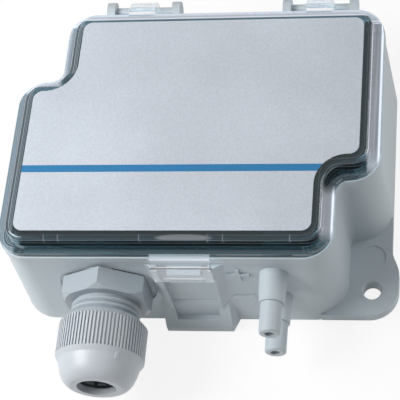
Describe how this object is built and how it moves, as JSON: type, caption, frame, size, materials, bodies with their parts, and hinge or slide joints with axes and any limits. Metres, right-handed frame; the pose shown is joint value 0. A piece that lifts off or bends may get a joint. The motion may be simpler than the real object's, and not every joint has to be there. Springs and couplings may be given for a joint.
{
  "type": "differential pressure transmitter",
  "caption": "Wall-mounted differential pressure transmitter: grey housing with a hinged clear lid, a cable gland, two tube ports and a stepped outline with mounting ears.",
  "frame": {"origin": "centre of the flat back face that lies on the wall", "axes": "+X to the right, +Y towards the lid's hinges, +Z out of the wall through the lid"},
  "size_m": [0.0936, 0.0968, 0.036],
  "materials": {
    "grey_housing": "fine spark-eroded texture",
    "clear_lid": "clear polished polycarbonate",
    "label_print": "fine matt film with one blue stripe",
    "black_rubber": "moulded",
    "gland_nylon": "light grey nylon, slight sheen",
    "board_laminate": "green solder resist",
    "bright_steel": "zinc plated",
    "green_plastic": "moulded",
    "black_plastic": "moulded",
    "silicone_tube": "translucent",
    "white_plastic": "moulded",
    "brass_pins": "plated",
    "blue_plastic": "moulded",
    "bare_aluminium": "drawn can",
    "ceramic_chips": "tinned ends"
  },
  "bodies": {
    "housing": {"base_housing": "grey_housing", "lid_gasket": "black_rubber", "gland_body": "gland_nylon", "gland_washer": "black_rubber", "gland_seal": "black_rubber", "gland_locknut": "gland_nylon", "circuit_board": "board_laminate", "board_screws": "bright_steel", "terminal_block": "green_plastic", "terminal_clamps": "bright_steel", "terminal_screws": "bright_steel", "pressure_sensor": "black_plastic", "sensor_tube_high": "silicone_tube", "sensor_tube_low": "silicone_tube", "zero_button_case": "black_plastic", "jumper_header": "black_plastic", "jumper_pins": "brass_pins", "jumper_caps": "blue_plastic", "microcontroller": "black_plastic", "voltage_regulator": "black_plastic", "capacitor_can": "bare_aluminium", "status_led": "white_plastic", "chip_components": "ceramic_chips"},
    "lid": {"lid": "clear_lid", "front_label": "label_print"},
    "cap_nut": {"gland_nut": "gland_nylon"},
    "zero_button": {"zero_button_plunger": "white_plastic"}
  },
  "joints": [
    {"name": "lid_hinge", "type": "hinge", "parent": "housing", "child": "lid", "pos_m": [0, 0.03561, 0.0294], "axis": [-1, 0, 0], "range_deg": [0, 115]},
    {"name": "cap_nut_turn", "type": "hinge", "parent": "housing", "child": "cap_nut", "pos_m": [-0.02, -0.05, 0.0172], "axis": [0, -1, 0], "range_deg": [0, 360]},
    {"name": "zero_button_press", "type": "slide", "parent": "housing", "child": "zero_button", "axis": [0, 0, -1], "range_m": [0, 0.0005], "stiffness_N_per_m": 3000}
  ]
}
